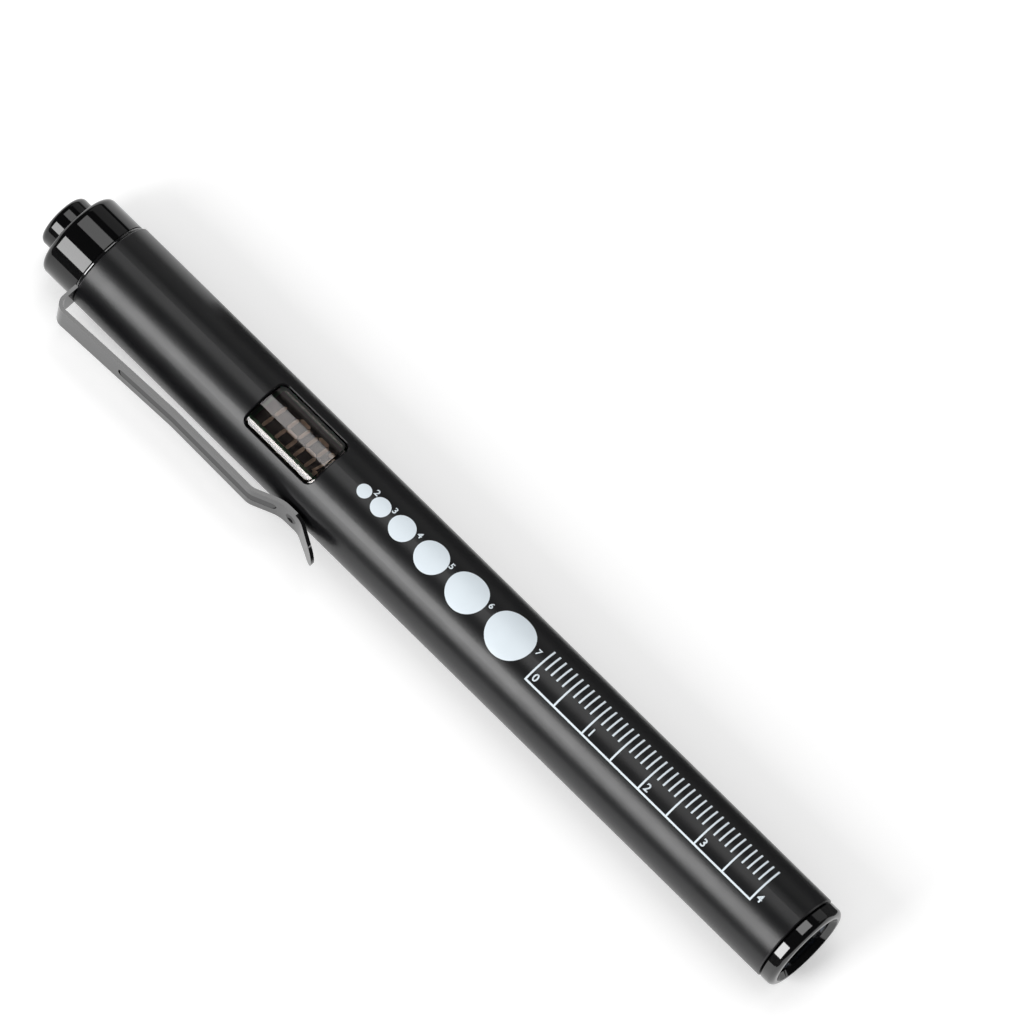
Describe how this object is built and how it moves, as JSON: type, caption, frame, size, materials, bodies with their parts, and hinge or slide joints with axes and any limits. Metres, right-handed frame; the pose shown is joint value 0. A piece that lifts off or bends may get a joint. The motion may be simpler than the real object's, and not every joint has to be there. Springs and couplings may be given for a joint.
{
  "type": "penlight",
  "caption": "Slim rechargeable penlight with a tail push button, sprung pocket clip, charge display window, pupil gauge dots and a centimetre ruler.",
  "frame": {"origin": "centre of the head's front face, on the barrel's axis", "axes": "+X out of the lens along the beam, +Z the side with the printed gauge and the window, -Y the pocket clip, +Y the charging port"},
  "size_m": [0.1347, 0.0163, 0.013],
  "materials": {
    "anodised_tube": "satin black anodised",
    "gloss_cap": "polished black",
    "gloss_head": "polished black",
    "gloss_button": "polished black",
    "clip_metal": "polished dark plate on spring steel",
    "smoked_window": "clear smoked, polished",
    "lens_glass": "coated glass",
    "seal_rubber": "matt",
    "mirror_cup": "metallised",
    "emitter_phosphor": "resin",
    "white_board": "white solder mask",
    "bare_aluminium": "turned",
    "spring_wire": "drawn wire",
    "cell_jacket": "shrink film",
    "foam_band": "adhesive foam tape",
    "circuit_board": "solder mask",
    "red_insulation": "satin",
    "black_insulation": "satin",
    "carrier_plastic": "moulded",
    "chip_resin": "moulded",
    "display_face": "dark face with pale segments",
    "lamp_resin": "resin",
    "clear_rod": "clear",
    "port_steel": "stamped",
    "port_plastic": "moulded",
    "gilt_contact": "plated",
    "switch_plastic": "moulded",
    "plunger_plastic": "moulded"
  },
  "bodies": {
    "housing": {"barrel": "anodised_tube", "window_cover": "smoked_window", "bezel_ring": "gloss_head", "lens": "lens_glass", "lens_seal": "seal_rubber", "reflector": "mirror_cup", "led_emitter": "emitter_phosphor", "led_board": "white_board", "heat_sink": "bare_aluminium", "contact_spring": "spring_wire", "battery_cell": "cell_jacket", "battery_band_front": "foam_band", "battery_band_rear": "foam_band", "contact_board": "circuit_board", "led_lead_positive": "red_insulation", "led_lead_negative": "black_insulation", "carrier": "carrier_plastic", "main_board": "circuit_board", "board_chips": "chip_resin", "display_board": "circuit_board", "display_module": "display_face", "charge_lamp": "lamp_resin", "light_pipe": "clear_rod", "port_shell": "port_steel", "port_tongue": "port_plastic", "port_contacts": "gilt_contact", "tail_cap": "gloss_cap", "tail_seal": "seal_rubber", "button_spring": "spring_wire", "switch_board": "circuit_board", "switch_body": "switch_plastic", "clip_ring": "clip_metal"},
    "button": {"push_button": "gloss_button", "switch_plunger": "plunger_plastic"},
    "clip": {"clip_arm": "clip_metal"}
  },
  "joints": [
    {"name": "button_press", "type": "slide", "parent": "housing", "child": "button", "axis": [1, 0, 0], "range_m": [0, 0.0015], "stiffness_N_per_m": 1200, "springref_m": -0.0012, "deforming": ["button_spring"]},
    {"name": "clip_flex", "type": "hinge", "parent": "housing", "child": "clip", "pos_m": [-0.1263, -0.0063, 0], "axis": [0, 0, -1], "range_deg": [0, 4], "stiffness_Nm_per_rad": 2, "springref_deg": -1.15}
  ]
}
